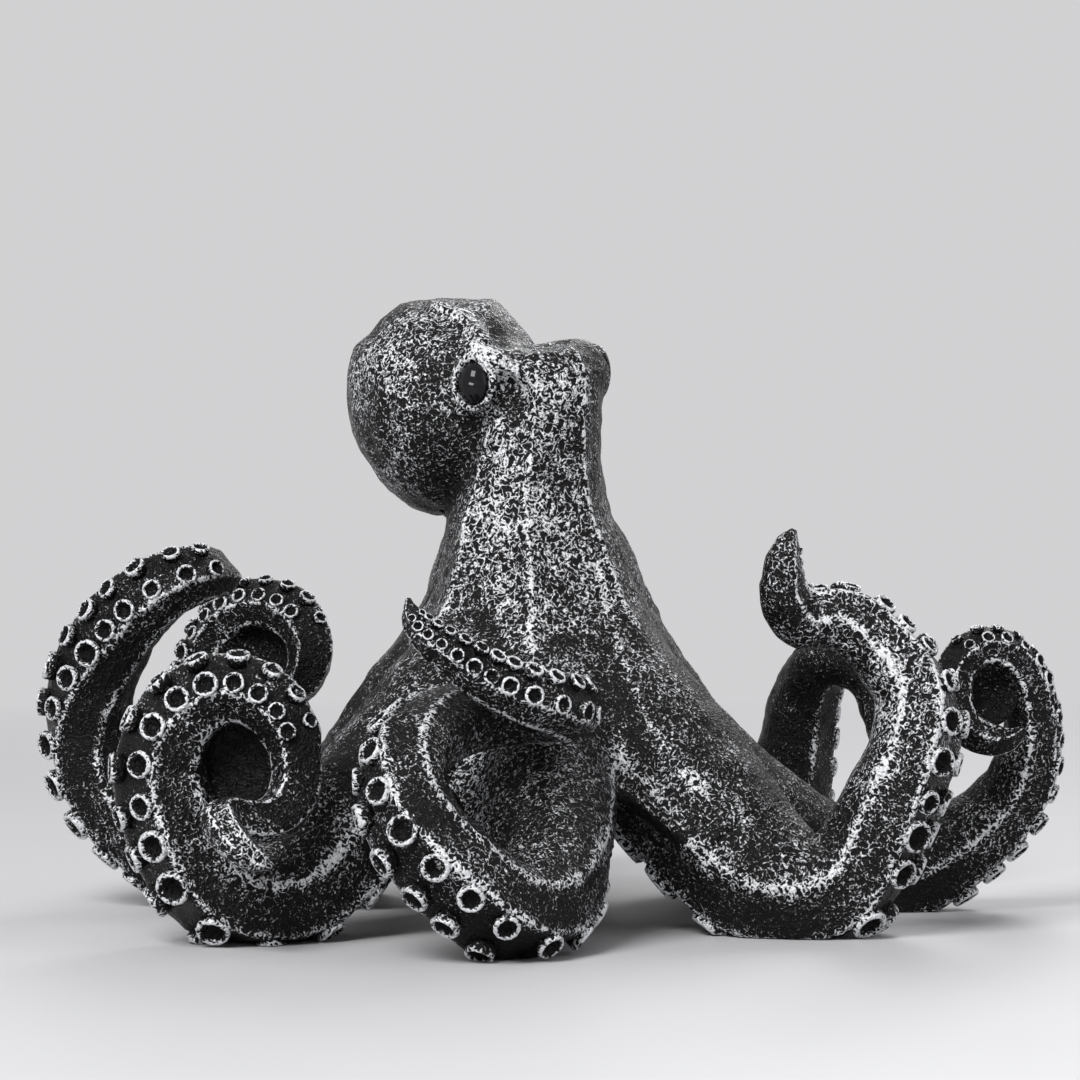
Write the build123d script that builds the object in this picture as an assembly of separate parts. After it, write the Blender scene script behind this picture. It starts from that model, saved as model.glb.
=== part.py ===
"""Octopus figurine, a table-top ornament of cast resin, in millimetres with +Z up.

The octopus stands on eight curled arms. One casting holds the mantle, the head, the neck and the web
with its eight shoulders. Each arm is a casting of its own that plugs into its shoulder by a spigot, and
two glossy eyes sit in sockets in the head. The figurine faces -Y, and it rests on flats under its arms.
"""

from build123d import *
import math
import os

# Mantle: the bag of the body, which leans back over the head
mantle_half_width = 21.5
mantle_half_depth = 24.0
mantle_half_height = 21.0
mantle_aside = -17.0
mantle_back = 12.0
mantle_rise = 103.0
mantle_lean = 18.0

# Neck and web: oval rings from the hem of the web up to the crown of the head
crown_rise = 113.5
hem_half_width = 40.0
hem_half_depth = 39.0
# Rows of height, sideways shift, forward shift, half width and half depth
neck_ring_share = (
    (0.13, 0.00, 0.00, 1.00, 1.00),
    (0.17, 0.00, 0.00, 1.08, 1.08),
    (0.24, 0.00, 0.00, 1.08, 1.08),
    (0.30, 0.00, 0.00, 0.97, 0.97),
    (0.38, 0.00, 0.00, 0.80, 0.80),
    (0.47, 0.00, 0.00, 0.66, 0.66),
    (0.56, -0.01, 0.00, 0.55, 0.55),
    (0.65, -0.03, -0.02, 0.48, 0.48),
    (0.72, -0.06, -0.06, 0.41, 0.41),
    (0.81, -0.03, -0.11, 0.33, 0.34),
    (0.92, 0.00, -0.15, 0.33, 0.31),
    (0.98, 0.00, -0.15, 0.28, 0.26),
    (1.00, 0.00, -0.15, 0.17, 0.16),
)

# Folds of the neck and web: a ridge towards each arm, with panels between that draw in by a share
fold_turns = (-137.0, -93.0, -45.0, 14.0, 55.0, 87.0, 127.0, 163.0)
panel_share = 0.10

# Facets round the mantle and the brows, and rings along each
ring_sides = 20
mantle_rings = 11
brow_sides = 14
brow_rings = 7

# Eyes: a brow bump on each side of the head, with a lid round an inset half ball
eye_radius = 3.9
eye_clearance = 0.1
brow_radius = 7.0
lid_width = 1.8
lid_height = 1.0
# Share of the eye's radius by which its flat back lies under the brow's surface
eye_depth_share = 0.6
eye_sides = 20
eye_rings = 6
# Places of the left and the right brow, and where each eye looks
left_brow = Vector(-10.4, -9.5, 105.5)
right_brow = Vector(7.5, -2.0, 108.0)
left_gaze = Vector(-0.45, -1.0, 0.05)
right_gaze = Vector(1.0, 0.45, 0.05)

# Shoulders and joints: where the arms leave the web
shoulder_rise = 57.0
shoulder_girth = 15.0
joint_radius = 47.0
spigot_radius = 3.6
spigot_length = 7.0
spigot_clearance = 0.15
spigot_sides = 6

# Belly: the hollow under the web
belly_radius = 25.0
belly_wall_rise = 16.0
belly_rise = 40.0
belly_peak_radius = 6.0

# Arm sections: half of the outline, from the middle of the back to the middle of the sucker face,
# as shares of the arm's half width across it and towards its back, with an eave where it is widest
outline_share = (
    (0.00, 0.98),
    (0.60, 0.79),
    (1.00, 0.14),
    (0.74, -0.78),
    (0.00, -0.80),
)

# Suckers: cups in two rows. Their radius is a share of the arm's half width, like their distance from
# the middle of the sole. Their steps are in diameters, and they end where they get under the least radius.
sucker_share = 0.30
sucker_aside_share = 0.42
sucker_step_share = 1.25
least_sucker_radius = 1.9
sucker_tilt = 20.0
sucker_sides = 6
# Rings of a cup from its foot to its dish: radius and height as shares of its radius
cup_share = (
    (0.85, -0.50),
    (1.00, 0.50),
    (0.50, 0.15),
)

# Each arm: sizes in millimetres, turns of the sucker side as rows of share of the length and degrees,
# and its route. A route's rows are shares of reach (X), depth (Y), rise (Z) and shoulder_girth, from web
# to tip, and so is the middle and half width of the wall that closes an arm's curl.
arms = {
    "arm_front": dict(
        reach=25.0,
        depth=75.0,
        rise=63.0,
        turns=(
            (0.0, 0.0), (0.28, 12.0), (0.40, 48.0), (0.52, 42.0),
            (0.64, 10.0), (0.75, -14.0), (1.0, -16.0),
        ),
        route_share=(
            (0.04, -0.27, 0.67, 0.87),
            (0.08, -0.48, 0.43, 0.80),
            (0.08, -0.72, 0.22, 0.70),
            (-0.16, -0.91, 0.12, 0.64),
            (-0.56, -1.00, 0.24, 0.60),
            (-0.90, -0.99, 0.39, 0.58),
            (-0.98, -0.91, 0.54, 0.54),
            (-0.80, -0.77, 0.63, 0.48),
            (-0.40, -0.65, 0.68, 0.45),
            (0.02, -0.63, 0.69, 0.42),
            (0.18, -0.72, 0.70, 0.42),
            (0.00, -0.83, 0.73, 0.38),
            (-0.36, -0.86, 0.79, 0.33),
            (-0.70, -0.86, 0.88, 0.26),
            (-0.90, -0.83, 0.95, 0.18),
            (-0.96, -0.80, 1.02, 0.08),
        ),
    ),
    "arm_front_right": dict(
        reach=70.0,
        depth=35.0,
        rise=77.0,
        turns=((0.0, 0.0), (0.40, -6.0), (0.52, -34.0), (0.66, -46.0), (0.78, -28.0), (1.0, -20.0)),
        route_share=(
            (0.17, -0.31, 0.60, 1.00),
            (0.33, -0.54, 0.43, 1.00),
            (0.49, -0.74, 0.25, 0.96),
            (0.64, -0.89, 0.13, 0.86),
            (0.80, -0.94, 0.12, 0.74),
            (0.94, -0.97, 0.30, 0.63),
            (1.01, -0.97, 0.44, 0.58),
            (1.02, -0.89, 0.60, 0.54),
            (0.93, -0.83, 0.71, 0.47),
            (0.82, -0.80, 0.78, 0.44),
            (0.71, -0.86, 0.78, 0.38),
            (0.66, -0.94, 0.84, 0.30),
            (0.66, -0.97, 0.92, 0.24),
            (0.69, -0.97, 1.00, 0.10),
        ),
    ),
    "arm_right": dict(
        reach=99.0,
        depth=12.0,
        rise=51.0,
        turns=((0.0, 0.0), (0.5, 12.0), (1.0, 12.0)),
        curl_share=(0.90, 0.04, 0.86, 0.40),
        route_share=(
            (0.14, 0.42, 0.90, 1.00),
            (0.27, 0.67, 0.65, 0.96),
            (0.42, 0.83, 0.40, 0.87),
            (0.60, 1.00, 0.19, 0.73),
            (0.76, 1.00, 0.15, 0.65),
            (0.89, 0.92, 0.30, 0.57),
            (0.97, 0.75, 0.46, 0.49),
            (1.00, 0.50, 0.66, 0.41),
            (0.99, 0.25, 0.88, 0.34),
            (0.94, 0.00, 1.03, 0.29),
            (0.87, -0.17, 1.03, 0.28),
            (0.83, -0.25, 0.89, 0.26),
            (0.86, -0.33, 0.74, 0.24),
            (0.92, -0.42, 0.69, 0.20),
            (0.97, -0.50, 0.74, 0.10),
        ),
    ),
    "arm_rear_right": dict(
        reach=73.0,
        depth=63.0,
        rise=49.0,
        turns=((0.0, 0.0), (1.0, 0.0)),
        route_share=(
            (0.15, 0.29, 0.88, 0.97),
            (0.32, 0.52, 0.57, 0.87),
            (0.51, 0.74, 0.32, 0.77),
            (0.66, 0.90, 0.16, 0.69),
            (0.74, 1.00, 0.42, 0.62),
            (0.77, 1.00, 0.67, 0.54),
            (0.80, 0.95, 0.89, 0.46),
            (0.86, 0.87, 1.00, 0.40),
            (0.95, 0.79, 0.95, 0.34),
            (0.99, 0.73, 0.80, 0.28),
            (1.00, 0.67, 0.65, 0.21),
            (0.96, 0.63, 0.53, 0.10),
        ),
    ),
    "arm_rear": dict(
        reach=10.0,
        depth=84.0,
        rise=47.0,
        turns=((0.0, 0.0), (1.0, 20.0)),
        route_share=(
            (0.10, 0.26, 0.89, 0.95),
            (0.25, 0.45, 0.55, 0.83),
            (0.30, 0.64, 0.30, 0.73),
            (0.10, 0.81, 0.16, 0.66),
            (-0.20, 0.95, 0.40, 0.58),
            (-0.50, 1.00, 0.66, 0.52),
            (-0.60, 0.94, 0.89, 0.45),
            (-0.40, 0.82, 1.00, 0.38),
            (0.00, 0.71, 0.91, 0.31),
            (0.20, 0.68, 0.74, 0.24),
            (0.00, 0.74, 0.62, 0.12),
        ),
    ),
    "arm_rear_left": dict(
        reach=74.0,
        depth=58.0,
        rise=61.0,
        turns=((0.0, 0.0), (1.0, 10.0)),
        curl_share=(-0.82, 0.87, 0.83, 0.55),
        route_share=(
            (-0.17, 0.33, 0.70, 0.95),
            (-0.34, 0.57, 0.44, 0.85),
            (-0.53, 0.76, 0.24, 0.77),
            (-0.75, 0.90, 0.13, 0.69),
            (-0.92, 0.98, 0.30, 0.60),
            (-1.00, 1.00, 0.51, 0.52),
            (-0.99, 0.98, 0.74, 0.44),
            (-0.93, 0.93, 0.92, 0.39),
            (-0.82, 0.86, 1.00, 0.37),
            (-0.70, 0.79, 0.95, 0.37),
            (-0.66, 0.74, 0.84, 0.33),
            (-0.70, 0.71, 0.71, 0.25),
            (-0.78, 0.72, 0.67, 0.12),
        ),
    ),
    "arm_left": dict(
        reach=93.0,
        depth=19.0,
        rise=68.0,
        turns=((0.0, 0.0), (0.30, -8.0), (0.50, -14.0), (0.65, 8.0), (0.80, 38.0), (1.0, 45.0)),
        route_share=(
            (-0.16, 0.26, 0.70, 1.00),
            (-0.28, 0.42, 0.52, 0.97),
            (-0.39, 0.58, 0.34, 0.87),
            (-0.53, 0.79, 0.21, 0.77),
            (-0.69, 0.95, 0.12, 0.71),
            (-0.85, 1.00, 0.22, 0.68),
            (-0.96, 1.00, 0.37, 0.65),
            (-1.00, 0.95, 0.54, 0.63),
            (-0.97, 0.79, 0.73, 0.59),
            (-0.90, 0.63, 0.87, 0.53),
            (-0.81, 0.53, 0.97, 0.45),
            (-0.73, 0.74, 1.00, 0.36),
            (-0.71, 1.11, 0.99, 0.25),
            (-0.73, 1.42, 0.96, 0.12),
        ),
    ),
    "arm_front_left": dict(
        reach=70.0,
        depth=68.0,
        rise=47.0,
        turns=((0.0, 0.0), (0.45, 22.0), (0.60, 30.0), (1.0, 40.0)),
        curl_share=(-0.81, -0.70, 0.71, 0.66),
        route_share=(
            (-0.21, -0.21, 0.94, 1.00),
            (-0.38, -0.37, 0.66, 0.93),
            (-0.54, -0.50, 0.40, 0.82),
            (-0.69, -0.60, 0.18, 0.73),
            (-0.84, -0.68, 0.20, 0.68),
            (-0.96, -0.71, 0.45, 0.64),
            (-1.00, -0.71, 0.70, 0.59),
            (-0.94, -0.71, 0.91, 0.52),
            (-0.81, -0.72, 1.00, 0.45),
            (-0.69, -0.75, 0.91, 0.39),
            (-0.64, -0.78, 0.72, 0.33),
            (-0.66, -0.82, 0.56, 0.29),
            (-0.75, -0.88, 0.50, 0.26),
            (-0.82, -0.94, 0.52, 0.23),
            (-0.78, -0.99, 0.43, 0.19),
            (-0.69, -1.00, 0.34, 0.09),
        ),
    ),
}

# Wall that closes a curl: its half thickness as a share of its half width, and its rings and facets
curl_wall_share = 0.16
curl_rings = 4
curl_sides = 10

# How finely an arm is followed: sections per route row, and steps of the carried frame
sections_per_row = 2
frame_steps = 240


def route_points(arm):
    """Centre points of an arm from inside the neck to its tip, and its half width at each."""
    points = [Vector(0, 0, shoulder_rise)]
    girths = [shoulder_girth]
    for x, y, z, girth in arm["route_share"]:
        points.append(Vector(x * arm["reach"], y * arm["depth"], z * arm["rise"]))
        girths.append(girth * shoulder_girth)
    return points, girths


def skin(rings):
    """Solid closed round rings of corners by flat triangles, with a flat end at the first and last."""
    faces = [Face(Wire.make_polygon(ring)) for ring in (rings[0], rings[-1])]
    for low, high in zip(rings, rings[1:]):
        for a, b, c, d in zip(low, low[1:] + low[:1], high, high[1:] + high[:1]):
            faces.append(Face(Wire.make_polygon([a, b, c])))
            faces.append(Face(Wire.make_polygon([b, d, c])))
    return Solid(Shell(faces))


def oval(half_width, half_depth, rise, sides):
    """Corners of a many-sided oval about the Z axis."""
    turns = [2 * math.pi * side / sides for side in range(sides)]
    return [Vector(half_width * math.cos(turn), half_depth * math.sin(turn), rise) for turn in turns]


class Arm:
    """One arm's centre line with a frame carried along it, which never spins about the line."""

    def __init__(self, arm):
        points, girths = route_points(arm)
        self.line = Spline(*points)
        self.turns = arm["turns"]
        chords = [(b - a).length for a, b in zip(points, points[1:])]
        total = sum(chords)
        self.marks = [sum(chords[:i]) / total for i in range(len(points))]
        self.girths = girths
        sole = Vector(0, 0, -1)
        self.soles = []
        for step in range(frame_steps + 1):
            along = self.line.tangent_at(step / frame_steps)
            sole = (sole - along * sole.dot(along)).normalized()
            self.soles.append(sole)
        reached = [step for step in range(frame_steps + 1) if self.outside(step / frame_steps)]
        self.joint = reached[0] / frame_steps

    def outside(self, share):
        """Whether the line has passed the circle where the arms are jointed."""
        place = self.line.position_at(share)
        return math.hypot(place.X, place.Y) >= joint_radius

    def girth(self, share):
        """Half width of the arm at a share of its length."""
        for low, high, a, b in zip(self.marks, self.marks[1:], self.girths, self.girths[1:]):
            if share <= high:
                return a + (b - a) * (share - low) / (high - low)
        return self.girths[-1]

    def turn(self, share):
        """Turn of the sole about the line in degrees, at a share of its length."""
        for (low, a), (high, b) in zip(self.turns, self.turns[1:]):
            if share <= high:
                return a + (b - a) * (share - low) / (high - low)
        return self.turns[-1][1]

    def plane(self, share):
        """Section plane: X across the arm, Y from the suckers to the back, Z along the arm."""
        place = self.line.position_at(share)
        along = self.line.tangent_at(share)
        sole = self.soles[round(share * frame_steps)]
        sole = sole.rotate(Axis((0, 0, 0), along), self.turn(share))
        back = sole * -1
        return Plane(origin=place, x_dir=back.cross(along), z_dir=along)

    def ring(self, share):
        """Corners of the arm's outline: a round back, an eave on each side and a flatter sole."""
        half = self.girth(share)
        plane = self.plane(share)
        far_side = [(-x, y) for x, y in reversed(outline_share[1:-1])]
        outline = [Vector(x * half, y * half) for x, y in [*outline_share, *far_side]]
        return [plane.from_local_coords(place) for place in outline]

    def stretch(self, start, end):
        """Solid of the arm between two shares of its length, with rings that follow the route's rows."""
        shares = [start]
        for low, high in zip(self.marks, self.marks[1:]):
            for step in range(sections_per_row):
                share = low + (high - low) * step / sections_per_row
                if start < share < end:
                    shares.append(share)
        shares.append(end)
        return skin([self.ring(share) for share in shares])

    def cup(self, share, side):
        """One sucker on the left or right half of the sole, leaning outwards."""
        half = self.girth(share)
        plane = self.plane(share)
        sole_rise = outline_share[-1][1] * half
        foot = plane.from_local_coords(Vector(side * sucker_aside_share * half, sole_rise))
        up = (plane.y_dir * -1).rotate(Axis((0, 0, 0), plane.z_dir), side * sucker_tilt)
        base = Plane(origin=foot, x_dir=plane.z_dir, z_dir=up)
        radius = sucker_share * half
        rings = []
        for wide, high in cup_share:
            turns = [2 * math.pi * corner / sucker_sides for corner in range(sucker_sides)]
            corners = [Vector(wide * math.cos(turn), wide * math.sin(turn), high) for turn in turns]
            rings.append([base.from_local_coords(corner * radius) for corner in corners])
        return skin(rings)

    def cups(self):
        """Both rows of suckers, from the joint to where they get too small."""
        cups = []
        step = 2 * sucker_step_share * sucker_share / self.line.length
        share = self.joint + step * self.girth(self.joint)
        while share < 1 and sucker_share * self.girth(share) > least_sucker_radius:
            cups += [self.cup(share, side) for side in (-1, 1)]
            share += step * self.girth(share)
        return cups

    def spigot(self, clearance):
        """Six-sided peg on the base of the arm, which can't turn in the shoulder's socket."""
        radius = spigot_radius + clearance
        length = spigot_length + clearance
        peg = skin([oval(radius, radius, rise, spigot_sides) for rise in (-length, length)])
        return self.plane(self.joint).location * peg


def egg(half_width, half_depth, half_height, rings, sides):
    """Egg about the origin, skinned through rings that stand closer towards its ends."""
    corners = []
    for step in range(rings):
        angle = math.pi * (step + 0.5) / rings
        wide = math.sin(angle)
        rise = -math.cos(angle) * half_height
        corners.append(oval(wide * half_width, wide * half_depth, rise, sides))
    return skin(corners)


def curl_wall(arm):
    """Thin upright lens that closes an arm's curl, or nothing where the curl is open."""
    if "curl_share" not in arm:
        return []
    x, y, z, share = arm["curl_share"]
    half = share * shoulder_girth
    lens = egg(half, half * curl_wall_share, half, curl_rings, curl_sides)
    return [Pos(x * arm["reach"], y * arm["depth"], z * arm["rise"]) * lens]


def neck():
    """Neck and web skinned through folded rings, from the hem to the crown."""
    gaps = zip(fold_turns, fold_turns[1:] + (fold_turns[0] + 360,))
    folds = [(turn, share) for low, high in gaps for turn, share in ((low, 0), ((low + high) / 2, panel_share))]
    rings = []
    for rise, aside, forward, half_width, half_depth in neck_ring_share:
        centre = Vector(aside * hem_half_width, forward * hem_half_depth, rise * crown_rise)
        ring = []
        for turn, share in folds:
            x = math.cos(math.radians(turn)) * half_width * hem_half_width
            y = math.sin(math.radians(turn)) * half_depth * hem_half_depth
            ring.append(centre + Vector(x, y) * (1 - share))
        rings.append(ring)
    return skin(rings)


def mantle():
    """Leaning egg behind the head."""
    bag = egg(mantle_half_width, mantle_half_depth, mantle_half_height, mantle_rings, ring_sides)
    return Pos(mantle_aside, mantle_back, mantle_rise) * Rot(mantle_lean, 0, 0) * bag


def brow(place):
    """Round bump that carries an eye."""
    return Pos(*place) * egg(brow_radius, brow_radius, brow_radius, brow_rings, brow_sides)


def eye_place(brow, gaze):
    """Frame of one eye: its origin in the middle of the flat back, and its Z where the eye looks."""
    gaze = gaze.normalized()
    return Plane(origin=brow + gaze * (brow_radius - eye_radius * eye_depth_share), z_dir=gaze)


def eye(plane):
    """Half ball with a flat back."""
    corners = []
    for step in range(eye_rings):
        angle = math.pi * step / (2 * eye_rings - 1)
        wide = eye_radius * math.cos(angle)
        corners.append(oval(wide, wide, eye_radius * math.sin(angle), eye_sides))
    return plane.location * skin(corners)


def lid(plane):
    """Raised mound round an eye, sloping down to the brow, which the socket then hollows."""
    foot = eye_radius * eye_depth_share
    inner = eye_radius + eye_clearance
    profile = (
        (inner + lid_width, 0),
        (inner + lid_height, foot),
        (inner, foot + lid_height),
    )
    return plane.location * skin([oval(wide, wide, rise, eye_sides) for wide, rise in profile])


def eye_socket(plane):
    """Round recess with a flat floor that the eye drops into."""
    radius = eye_radius + eye_clearance
    return plane.location * skin([oval(radius, radius, rise, eye_sides) for rise in (0, 2 * eye_radius)])


def half_space():
    """Block under the ground plane, which flattens what would reach below it."""
    side = 4 * joint_radius + 4 * shoulder_girth
    return Pos(0, 0, -side / 2) * Box(side, side, side)


def belly():
    """Cone that hollows the casting from below, between the shoulders."""
    profile = (
        (belly_radius, -shoulder_girth),
        (belly_radius, belly_wall_rise),
        (belly_peak_radius, belly_rise),
    )
    return skin([oval(wide, wide, rise, ring_sides) for wide, rise in profile])


eyes = {
    "eye_left": eye_place(left_brow, left_gaze),
    "eye_right": eye_place(right_brow, right_gaze),
}
built = {name: Arm(arm) for name, arm in arms.items()}


def make_body():
    """Mantle, head, neck, web and shoulders as one casting, hollow under the web."""
    lumps = [mantle()]
    lumps += [brow(place) for place in (left_brow, right_brow)]
    lumps += [lid(plane) for plane in eyes.values()]
    lumps += [arm.stretch(0, arm.joint) for arm in built.values()]
    sockets = [eye_socket(plane) for plane in eyes.values()]
    sockets += [arm.spigot(spigot_clearance) for arm in built.values()]
    return neck() + lumps - sockets - belly() - half_space()


def make_arm(name):
    """One arm from its joint to its tip, with its suckers, its spigot and a flat where it rests."""
    arm = built[name]
    return arm.stretch(arm.joint, 1) + [arm.spigot(0), *arm.cups(), *curl_wall(arms[name])] - half_space()


pieces = {"body": make_body()}
for name, plane in eyes.items():
    pieces[name] = eye(plane)
for name in arms:
    pieces[name] = make_arm(name)

# The origin lies on the ground under the middle of the whole figurine
boxes = [piece.bounding_box() for piece in pieces.values()]
middle_x = (min(box.min.X for box in boxes) + max(box.max.X for box in boxes)) / 2
middle_y = (min(box.min.Y for box in boxes) + max(box.max.Y for box in boxes)) / 2

os.makedirs("parts", exist_ok=True)
for name, piece in pieces.items():
    export_step(Pos(-middle_x, -middle_y, 0) * piece, f"parts/{name}.step")
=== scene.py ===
"""Octopus figurine of cast resin, black with a dry-brushed silver grain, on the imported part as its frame.

Body and arms are surfaces worked out with numpy. Where they join, their points are moved on to a soft
union of all the forms. Tables are in millimetres about the middle of the web, meshes in metres.
"""

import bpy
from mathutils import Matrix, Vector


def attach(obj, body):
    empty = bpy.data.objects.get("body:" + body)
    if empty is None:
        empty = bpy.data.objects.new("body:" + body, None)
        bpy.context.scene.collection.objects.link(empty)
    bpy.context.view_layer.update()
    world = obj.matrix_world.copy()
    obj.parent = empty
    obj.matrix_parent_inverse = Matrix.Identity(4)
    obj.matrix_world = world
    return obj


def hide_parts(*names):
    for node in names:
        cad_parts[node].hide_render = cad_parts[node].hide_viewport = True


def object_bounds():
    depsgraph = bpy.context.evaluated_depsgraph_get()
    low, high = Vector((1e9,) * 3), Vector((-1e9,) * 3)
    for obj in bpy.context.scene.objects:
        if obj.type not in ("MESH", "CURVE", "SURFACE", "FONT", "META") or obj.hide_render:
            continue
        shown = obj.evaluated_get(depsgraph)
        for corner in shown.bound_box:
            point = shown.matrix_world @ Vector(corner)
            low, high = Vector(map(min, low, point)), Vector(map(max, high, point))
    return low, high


bl_info = {
    "name": "Octopus Figurine",
    "version": (1, 0, 0),
    "blender": (4, 5, 0),
    "location": "3D View > Sidebar > Octopus",
    "description": "Builds a cast resin octopus figurine with suckered arms",
    "category": "Add Mesh",
}

import math

import bpy
import numpy as np
from bpy.props import FloatProperty, FloatVectorProperty, IntProperty, PointerProperty
from mathutils import Vector

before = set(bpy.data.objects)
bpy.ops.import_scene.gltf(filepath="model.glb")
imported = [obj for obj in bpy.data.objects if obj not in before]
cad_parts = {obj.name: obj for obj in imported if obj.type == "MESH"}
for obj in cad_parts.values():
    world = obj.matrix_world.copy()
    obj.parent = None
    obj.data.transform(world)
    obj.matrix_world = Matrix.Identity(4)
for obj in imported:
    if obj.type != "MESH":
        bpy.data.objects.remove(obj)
cad_low, cad_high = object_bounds()

MILLIMETRE = 0.001
# Where the middle of the web stands from the middle of the figurine's box
WEB_PLACE = np.array((-1.281, -3.759, 0.0))

# Each arm: how its sole turns, as share of the length and degrees, and its route, as place and half
# width from ARM_START in the web to the tip
ARMS = {
    "arm_front": (((0, 0), (0.28, 12), (0.40, 48), (0.52, 42), (0.64, 10), (0.75, -14), (1, -16)), (
        (1, -20.3, 42.2, 13), (2, -36, 27.1, 12), (2, -54, 13.9, 10.5), (-4, -68.2, 7.6, 9.6),
        (-14, -75, 15.1, 9), (-22.5, -74.2, 24.6, 8.7), (-24.5, -68.2, 34, 8.1), (-20, -57.8, 39.7, 7.2),
        (-10, -48.8, 42.8, 6.8), (0.5, -47.3, 43.5, 6.3), (4.5, -54, 44.1, 6.3), (0, -62.2, 46, 5.7),
        (-9, -64.5, 49.8, 5), (-17.5, -64.5, 55.4, 3.9), (-22.5, -62.2, 59.8, 2.7), (-24, -60, 64.3, 1.2))),
    "arm_front_right": (((0, 0), (0.40, -6), (0.52, -34), (0.66, -46), (0.78, -28), (1, -20)), (
        (11.9, -10.9, 46.2, 15), (23.1, -18.9, 33.1, 15), (34.3, -25.9, 19.3, 14.4),
        (44.8, -31.2, 10, 12.9), (56, -32.9, 9.2, 11.1), (65.8, -34, 23.1, 9.5), (70.7, -34, 33.9, 8.7),
        (71.4, -31.2, 46.2, 8.1), (65.1, -29, 54.7, 7.1), (57.4, -28, 60.1, 6.6), (49.7, -30.1, 60.1, 5.7),
        (46.2, -32.9, 64.7, 4.5), (46.2, -34, 70.8, 3.6), (48.3, -34, 77, 1.5))),
    "arm_right": (((0, 0), (0.50, 24), (1, 28)), (
        (13.9, 5, 44.2, 13.2), (26.7, 8, 31.2, 12.7), (41.6, 10, 19.7, 12.4), (59.4, 12, 9.7, 11),
        (75.2, 12, 7.7, 9.8), (88.1, 11, 15.3, 8.6), (96, 9, 23.5, 7.4), (99, 6, 33.7, 6.2),
        (98, 3, 44.9, 5.1), (93.1, 0, 52.5, 4.4), (86.1, -2, 52.5, 4.2), (82.2, -3, 45.4, 3.9),
        (85.1, -4, 37.7, 3.6), (91.1, -5, 35.2, 3), (96, -6, 37.7, 1.5))),
    "arm_rear_right": (((0, 0), (1, 0)), (
        (11, 18.3, 41.2, 12.8), (23.4, 32.8, 26.2, 12), (37.2, 46.6, 15.7, 11.6), (48.2, 56.7, 7.8, 10.4),
        (54, 63, 20.6, 9.3), (56.2, 63, 32.8, 8.1), (58.4, 59.9, 43.6, 6.9), (62.8, 54.8, 49, 6),
        (69.4, 49.8, 46.6, 5.1), (72.3, 46, 39.2, 4.2), (73, 42.2, 31.9, 3.2), (70.1, 39.7, 26, 1.5))),
    "arm_rear": (((0, 0), (1, 20)), (
        (1, 21.8, 41.8, 14.3), (2.5, 37.8, 25.9, 12.5), (3, 53.8, 14.1, 11), (1, 68, 7.5, 9.9),
        (-2, 79.8, 18.8, 8.7), (-5, 84, 31, 7.8), (-6, 79, 41.8, 6.8), (-4, 68.9, 47, 5.7),
        (0, 59.6, 42.8, 4.7), (2, 57.1, 34.8, 3.6), (0, 62.2, 29.1, 1.8))),
    "arm_rear_left": (((0, 0), (1, 10)), (
        (-12.6, 19.1, 42.7, 14.3), (-25.2, 33.1, 26.8, 12.8), (-39.2, 44.1, 14.6, 11.6),
        (-55.5, 52.2, 7.9, 10.4), (-68.1, 56.8, 18.3, 9), (-74, 58, 31.1, 7.8), (-73.3, 56.8, 45.1, 6.6),
        (-68.8, 53.9, 56.1, 5.9), (-60.7, 49.9, 61, 5.6), (-51.8, 45.8, 58, 5.6), (-48.8, 42.9, 51.2, 5),
        (-51.8, 41.2, 43.3, 3.8), (-57.7, 41.8, 40.9, 1.8))),
    "arm_left": (((0, 0), (0.30, -12), (0.50, -26), (0.64, -2), (0.78, 38), (1, 45)), (
        (-14.9, 4.9, 47.6, 15), (-26, 8, 35.4, 14.6), (-36.3, 11, 23.1, 13), (-49.3, 15, 14.3, 11.6),
        (-64.2, 18.1, 8.2, 10.6), (-79, 19, 15, 10.2), (-89.3, 19, 25.2, 9.8), (-93, 18, 36.7, 9.4),
        (-90.2, 15, 49.6, 8.8), (-83.7, 12, 59.2, 8), (-75.3, 10.1, 66, 6.8), (-67.9, 14.1, 68, 5.4),
        (-66, 21.1, 67.3, 3.8), (-67.9, 27, 65.3, 1.8))),
    "arm_front_left": (((0, 0), (0.45, 22), (0.60, 30), (1, 40)), (
        (-14.7, -14.3, 44.2, 15), (-26.6, -25.2, 31, 14), (-37.8, -34, 18.8, 12.3), (-48.3, -40.8, 8.5, 11),
        (-58.8, -46.2, 9.4, 10.2), (-67.2, -48.3, 21.2, 9.6), (-70, -48.3, 32.9, 8.9),
        (-65.8, -48.3, 42.8, 7.8), (-56.7, -49, 47, 6.8), (-48.3, -51, 42.8, 5.9), (-44.8, -53, 33.8, 5),
        (-46.2, -55.8, 26.3, 4.6), (-52.5, -59.8, 23.5, 4.3), (-57.4, -63.9, 24.4, 4.1),
        (-54.6, -67.3, 20.2, 3.5), (-48.3, -68, 16, 1.6))),
}
ARM_START = (0, 0, 57, 15)
# Reach from the web's middle at which an arm begins, and the shares of its length past that up to which
# it counts in the union of the forms and is landed on it
JOINT_RADIUS = 47.0
SHOULDER_SHARE = 0.2
LANDED_SHARE = 0.14
# Walls that close three of the curls: middle and radius, and profile as share of the radius and depth
CURLS = {
    "arm_right": ((89.1, 0.6, 43.9), 6.2),
    "arm_rear_left": ((-60.7, 50.7, 50.6), 8.2),
    "arm_front_left": ((-56.7, -47.4, 33.4), 9.8),
}
CURL_PROFILE = (
    (0.02, 0.3), (0.3, 0.1), (0.6, -0.5), (0.85, -1.3), (1, -2), (1.03, -1.2), (0.9, 0.3), (0.6, 1.4),
    (0.3, 1.9), (0.02, 2))

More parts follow.
